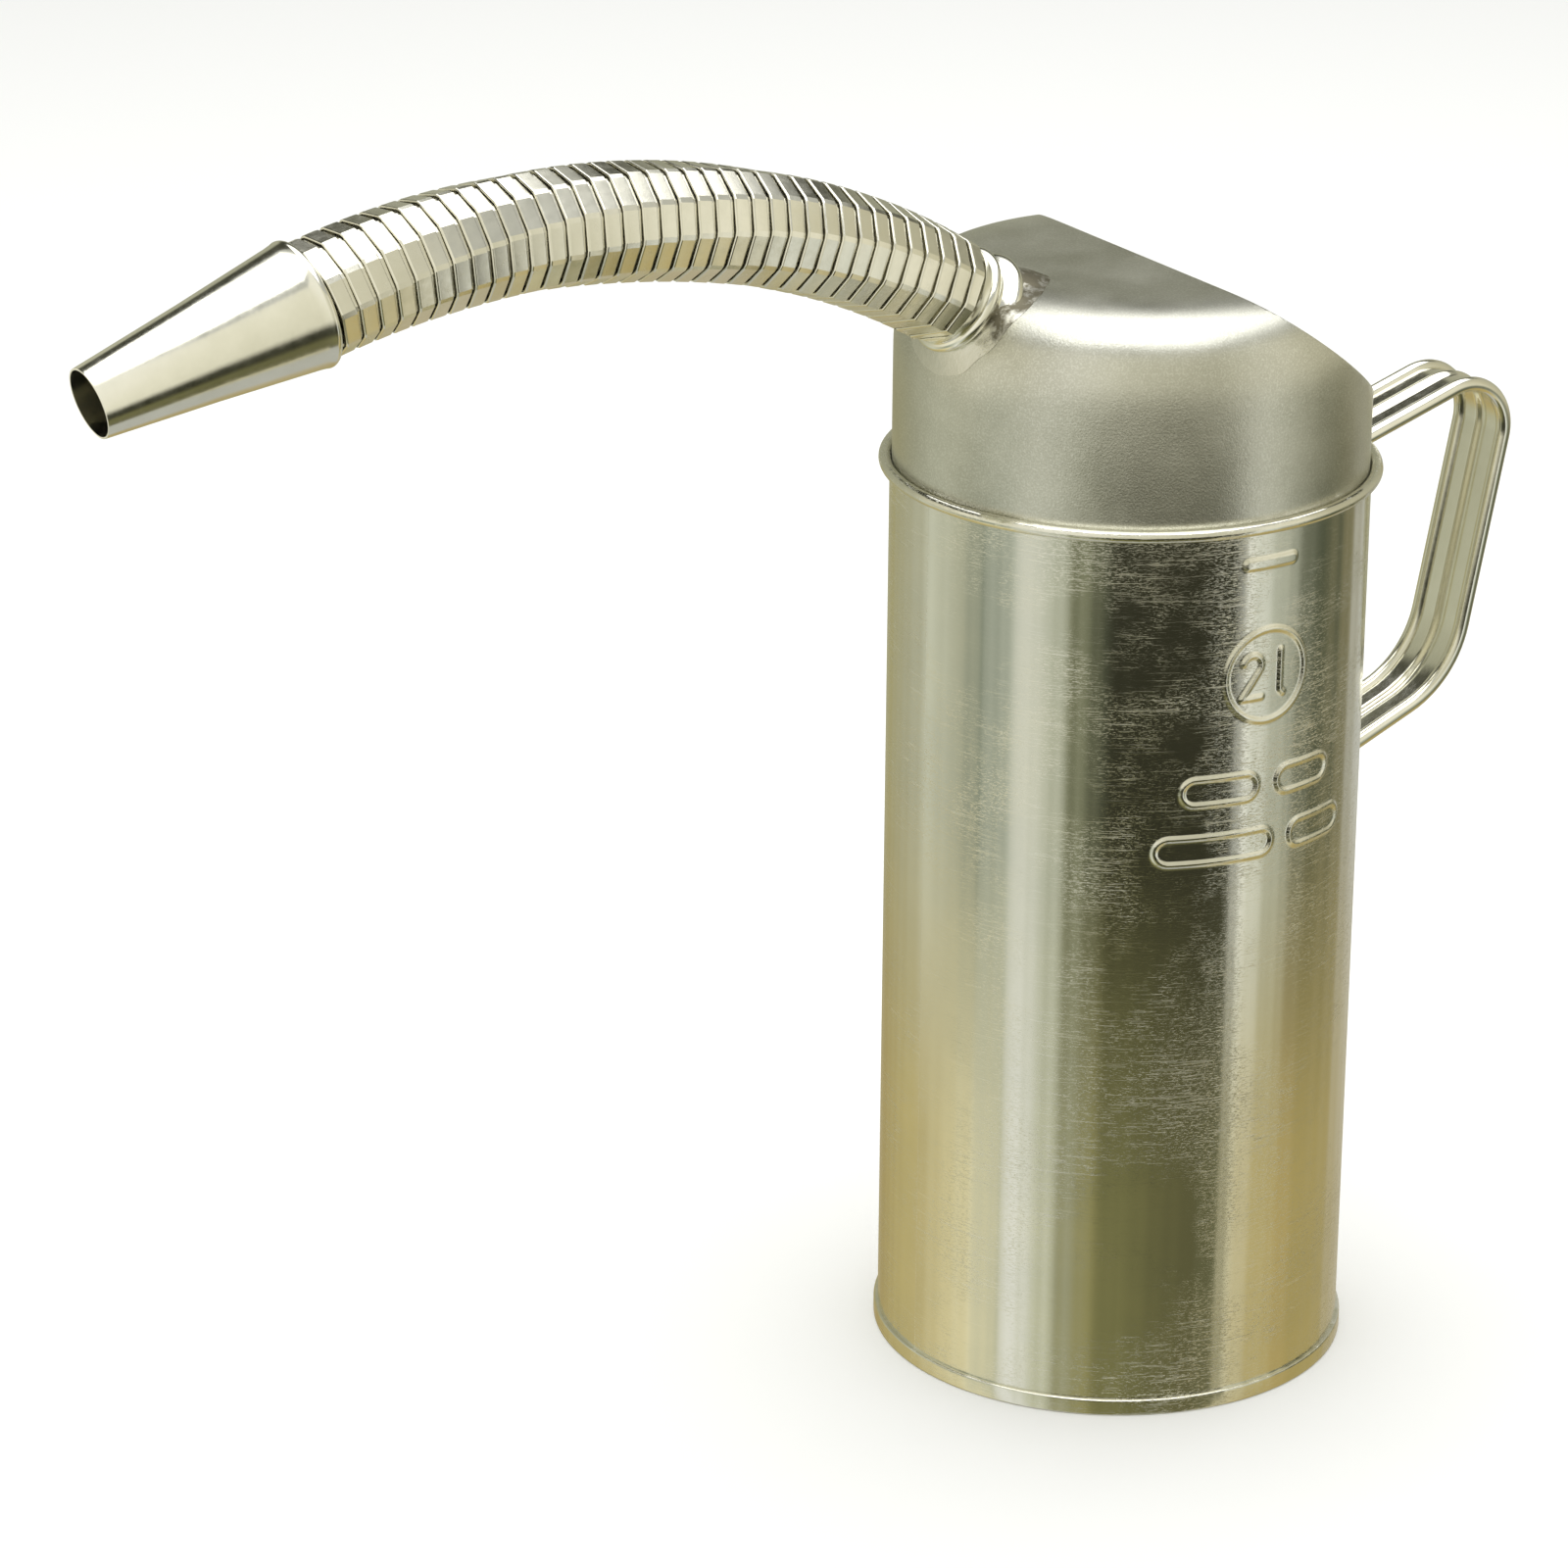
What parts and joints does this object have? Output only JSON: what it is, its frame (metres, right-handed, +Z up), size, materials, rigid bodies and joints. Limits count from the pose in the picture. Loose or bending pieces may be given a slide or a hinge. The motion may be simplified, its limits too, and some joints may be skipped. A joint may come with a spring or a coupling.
{
  "type": "oil measuring can",
  "caption": "Cylindrical tinplate oil measuring can with a half cover over its mouth, a flexible wound metal spout ending in a conical nozzle, and a strap handle.",
  "frame": {"origin": "centre of the standing ring, on the floor under the can's axis", "axes": "+Z is up, the spout points to -X, the handle to +X and the embossed marks face -Y; metres"},
  "size_m": [0.373, 0.1172, 0.31],
  "materials": {
    "tinplate": "bright tinned sheet, glossy with fine drawn scratches",
    "satin_cover": "satin, grainy drawn tinplate",
    "hose_strip": "bright tinned strip with a warm tint",
    "solder": "dull soft solder with flux stains"
  },
  "bodies": {
    "can": {"body_shell": "tinplate", "bottom_disc": "tinplate", "half_cover": "satin_cover", "spout_neck": "tinplate", "neck_solder": "solder", "handle": "tinplate", "handle_pad_upper": "tinplate", "handle_pad_lower": "tinplate", "hose_turn_01": "hose_strip"},
    "turn_02": {"hose_turn_02": "hose_strip"},
    "turn_03": {"hose_turn_03": "hose_strip"},
    "turn_04": {"hose_turn_04": "hose_strip"},
    "turn_05": {"hose_turn_05": "hose_strip"},
    "turn_06": {"hose_turn_06": "hose_strip"},
    "turn_07": {"hose_turn_07": "hose_strip"},
    "turn_08": {"hose_turn_08": "hose_strip"},
    "turn_09": {"hose_turn_09": "hose_strip"},
    "turn_10": {"hose_turn_10": "hose_strip"},
    "turn_11": {"hose_turn_11": "hose_strip"},
    "turn_12": {"hose_turn_12": "hose_strip"},
    "turn_13": {"hose_turn_13": "hose_strip"},
    "turn_14": {"hose_turn_14": "hose_strip"},
    "turn_15": {"hose_turn_15": "hose_strip"},
    "turn_16": {"hose_turn_16": "hose_strip"},
    "turn_17": {"hose_turn_17": "hose_strip"},
    "turn_18": {"hose_turn_18": "hose_strip"},
    "turn_19": {"hose_turn_19": "hose_strip"},
    "turn_20": {"hose_turn_20": "hose_strip"},
    "turn_21": {"hose_turn_21": "hose_strip"},
    "turn_22": {"hose_turn_22": "hose_strip"},
    "turn_23": {"hose_turn_23": "hose_strip"},
    "turn_24": {"hose_turn_24": "hose_strip"},
    "turn_25": {"hose_turn_25": "hose_strip"},
    "turn_26": {"hose_turn_26": "hose_strip"},
    "turn_27": {"hose_turn_27": "hose_strip"},
    "turn_28": {"hose_turn_28": "hose_strip"},
    "turn_29": {"hose_turn_29": "hose_strip"},
    "turn_30": {"hose_turn_30": "hose_strip"},
    "turn_31": {"hose_turn_31": "hose_strip"},
    "turn_32": {"hose_turn_32": "hose_strip"},
    "turn_33": {"hose_turn_33": "hose_strip"},
    "turn_34": {"hose_turn_34": "hose_strip"},
    "turn_35": {"hose_turn_35": "hose_strip"},
    "turn_36": {"hose_turn_36": "hose_strip", "nozzle": "tinplate"}
  },
  "joints": [
    {"name": "spout_bend", "type": "hinge", "parent": "can", "child": "turn_02", "pos_m": [-0.05662, 0, 0.26997], "axis": [0, 1, 0], "range_deg": [-2.4, 3.6]},
    {"name": "spout_swing", "type": "hinge", "parent": "turn_02", "child": "turn_03", "pos_m": [-0.06068, 0, 0.27224], "axis": [0.4777, 0, 0.8785], "range_deg": [-2.4, 2.4]},
    {"name": "bend_04", "type": "hinge", "parent": "turn_03", "child": "turn_04", "pos_m": [-0.0648, 0, 0.27442], "axis": [0, 1, 0], "range_deg": [-2.4, 3.6]},
    {"name": "swing_05", "type": "hinge", "parent": "turn_04", "child": "turn_05", "pos_m": [-0.06897, 0, 0.2765], "axis": [0.437, 0, 0.8994], "range_deg": [-2.4, 2.4]},
    {"name": "bend_06", "type": "hinge", "parent": "turn_05", "child": "turn_06", "pos_m": [-0.07319, 0, 0.27849], "axis": [0, 1, 0], "range_deg": [-2.4, 3.6]},
    {"name": "swing_07", "type": "hinge", "parent": "turn_06", "child": "turn_07", "pos_m": [-0.07744, 0, 0.28038], "axis": [0.3955, 0, 0.9185], "range_deg": [-2.4, 2.4]},
    {"name": "bend_08", "type": "hinge", "parent": "turn_07", "child": "turn_08", "pos_m": [-0.08175, 0, 0.28218], "axis": [0, 1, 0], "range_deg": [-2.4, 3.6]},
    {"name": "swing_09", "type": "hinge", "parent": "turn_08", "child": "turn_09", "pos_m": [-0.08609, 0, 0.28387], "axis": [0.3531, 0, 0.9356], "range_deg": [-2.4, 2.4]},
    {"name": "bend_10", "type": "hinge", "parent": "turn_09", "child": "turn_10", "pos_m": [-0.09046, 0, 0.28547], "axis": [0, 1, 0], "range_deg": [-2.4, 3.6]},
    {"name": "swing_11", "type": "hinge", "parent": "turn_10", "child": "turn_11", "pos_m": [-0.09488, 0, 0.28696], "axis": [0.3099, 0, 0.9508], "range_deg": [-2.4, 2.4]},
    {"name": "bend_12", "type": "hinge", "parent": "turn_11", "child": "turn_12", "pos_m": [-0.09933, 0, 0.28836], "axis": [0, 1, 0], "range_deg": [-2.4, 3.6]},
    {"name": "swing_13", "type": "hinge", "parent": "turn_12", "child": "turn_13", "pos_m": [-0.1038, 0, 0.28965], "axis": [0.2661, 0, 0.9639], "range_deg": [-2.4, 2.4]},
    {"name": "bend_14", "type": "hinge", "parent": "turn_13", "child": "turn_14", "pos_m": [-0.10831, 0, 0.29084], "axis": [0, 1, 0], "range_deg": [-2.4, 3.6]},
    {"name": "swing_15", "type": "hinge", "parent": "turn_14", "child": "turn_15", "pos_m": [-0.11284, 0, 0.29192], "axis": [0.2218, 0, 0.9751], "range_deg": [-2.4, 2.4]},
    {"name": "bend_16", "type": "hinge", "parent": "turn_15", "child": "turn_16", "pos_m": [-0.1174, 0, 0.2929], "axis": [0, 1, 0], "range_deg": [-2.4, 3.6]},
    {"name": "swing_17", "type": "hinge", "parent": "turn_16", "child": "turn_17", "pos_m": [-0.12197, 0, 0.29378], "axis": [0.177, 0, 0.9842], "range_deg": [-2.4, 2.4]},
    {"name": "bend_18", "type": "hinge", "parent": "turn_17", "child": "turn_18", "pos_m": [-0.12657, 0, 0.29455], "axis": [0, 1, 0], "range_deg": [-2.4, 3.6]},
    {"name": "swing_19", "type": "hinge", "parent": "turn_18", "child": "turn_19", "pos_m": [-0.13118, 0, 0.29522], "axis": [0.1318, 0, 0.9913], "range_deg": [-2.4, 2.4]},
    {"name": "bend_20", "type": "hinge", "parent": "turn_19", "child": "turn_20", "pos_m": [-0.13581, 0, 0.29578], "axis": [0, 1, 0], "range_deg": [-2.4, 3.6]},
    {"name": "swing_21", "type": "hinge", "parent": "turn_20", "child": "turn_21", "pos_m": [-0.14044, 0, 0.29624], "axis": [0.0864, 0, 0.9963], "range_deg": [-2.4, 2.4]},
    {"name": "bend_22", "type": "hinge", "parent": "turn_21", "child": "turn_22", "pos_m": [-0.14509, 0, 0.29659], "axis": [0, 1, 0], "range_deg": [-2.4, 3.6]},
    {"name": "swing_23", "type": "hinge", "parent": "turn_22", "child": "turn_23", "pos_m": [-0.14974, 0, 0.29683], "axis": [0.0407, 0, 0.9992], "range_deg": [-2.4, 2.4]},
    {"name": "bend_24", "type": "hinge", "parent": "turn_23", "child": "turn_24", "pos_m": [-0.1544, 0, 0.29697], "axis": [0, 1, 0], "range_deg": [-2.4, 3.6]},
    {"name": "swing_25", "type": "hinge", "parent": "turn_24", "child": "turn_25", "pos_m": [-0.15906, 0, 0.297], "axis": [-0.005, 0, 1], "range_deg": [-2.4, 2.4]},
    {"name": "bend_26", "type": "hinge", "parent": "turn_25", "child": "turn_26", "pos_m": [-0.16372, 0, 0.29692], "axis": [0, 1, 0], "range_deg": [-2.4, 3.6]},
    {"name": "swing_27", "type": "hinge", "parent": "turn_26", "child": "turn_27", "pos_m": [-0.16838, 0, 0.29674], "axis": [-0.0507, 0, 0.9987], "range_deg": [-2.4, 2.4]},
    {"name": "bend_28", "type": "hinge", "parent": "turn_27", "child": "turn_28", "pos_m": [-0.17303, 0, 0.29645], "axis": [0, 1, 0], "range_deg": [-2.4, 3.6]},
    {"name": "swing_29", "type": "hinge", "parent": "turn_28", "child": "turn_29", "pos_m": [-0.17767, 0, 0.29605], "axis": [-0.0963, 0, 0.9954], "range_deg": [-2.4, 2.4]},
    {"name": "bend_30", "type": "hinge", "parent": "turn_29", "child": "turn_30", "pos_m": [-0.18231, 0, 0.29555], "axis": [0, 1, 0], "range_deg": [-2.4, 3.6]},
    {"name": "swing_31", "type": "hinge", "parent": "turn_30", "child": "turn_31", "pos_m": [-0.18693, 0, 0.29494], "axis": [-0.1417, 0, 0.9899], "range_deg": [-2.4, 2.4]},
    {"name": "bend_32", "type": "hinge", "parent": "turn_31", "child": "turn_32", "pos_m": [-0.19153, 0, 0.29423], "axis": [0, 1, 0], "range_deg": [-2.4, 3.6]},
    {"name": "swing_33", "type": "hinge", "parent": "turn_32", "child": "turn_33", "pos_m": [-0.19612, 0, 0.29341], "axis": [-0.1868, 0, 0.9824], "range_deg": [-2.4, 2.4]},
    {"name": "bend_34", "type": "hinge", "parent": "turn_33", "child": "turn_34", "pos_m": [-0.20069, 0, 0.29249], "axis": [0, 1, 0], "range_deg": [-2.4, 3.6]},
    {"name": "swing_35", "type": "hinge", "parent": "turn_34", "child": "turn_35", "pos_m": [-0.20523, 0, 0.29146], "axis": [-0.2315, 0, 0.9728], "range_deg": [-2.4, 2.4]},
    {"name": "bend_36", "type": "hinge", "parent": "turn_35", "child": "turn_36", "pos_m": [-0.20975, 0, 0.29033], "axis": [0, 1, 0], "range_deg": [-2.4, 3.6]}
  ],
  "couplings": [
    {"joint": "bend_04", "follows": "spout_bend", "ratio": 1},
    {"joint": "swing_05", "follows": "spout_swing", "ratio": 1},
    {"joint": "bend_06", "follows": "spout_bend", "ratio": 1},
    {"joint": "swing_07", "follows": "spout_swing", "ratio": 1},
    {"joint": "bend_08", "follows": "spout_bend", "ratio": 1},
    {"joint": "swing_09", "follows": "spout_swing", "ratio": 1},
    {"joint": "bend_10", "follows": "spout_bend", "ratio": 1},
    {"joint": "swing_11", "follows": "spout_swing", "ratio": 1},
    {"joint": "bend_12", "follows": "spout_bend", "ratio": 1},
    {"joint": "swing_13", "follows": "spout_swing", "ratio": 1},
    {"joint": "bend_14", "follows": "spout_bend", "ratio": 1},
    {"joint": "swing_15", "follows": "spout_swing", "ratio": 1},
    {"joint": "bend_16", "follows": "spout_bend", "ratio": 1},
    {"joint": "swing_17", "follows": "spout_swing", "ratio": 1},
    {"joint": "bend_18", "follows": "spout_bend", "ratio": 1},
    {"joint": "swing_19", "follows": "spout_swing", "ratio": 1},
    {"joint": "bend_20", "follows": "spout_bend", "ratio": 1},
    {"joint": "swing_21", "follows": "spout_swing", "ratio": 1},
    {"joint": "bend_22", "follows": "spout_bend", "ratio": 1},
    {"joint": "swing_23", "follows": "spout_swing", "ratio": 1},
    {"joint": "bend_24", "follows": "spout_bend", "ratio": 1},
    {"joint": "swing_25", "follows": "spout_swing", "ratio": 1},
    {"joint": "bend_26", "follows": "spout_bend", "ratio": 1},
    {"joint": "swing_27", "follows": "spout_swing", "ratio": 1},
    {"joint": "bend_28", "follows": "spout_bend", "ratio": 1},
    {"joint": "swing_29", "follows": "spout_swing", "ratio": 1},
    {"joint": "bend_30", "follows": "spout_bend", "ratio": 1},
    {"joint": "swing_31", "follows": "spout_swing", "ratio": 1},
    {"joint": "bend_32", "follows": "spout_bend", "ratio": 1},
    {"joint": "swing_33", "follows": "spout_swing", "ratio": 1},
    {"joint": "bend_34", "follows": "spout_bend", "ratio": 1},
    {"joint": "swing_35", "follows": "spout_swing", "ratio": 1},
    {"joint": "bend_36", "follows": "spout_bend", "ratio": 1}
  ]
}
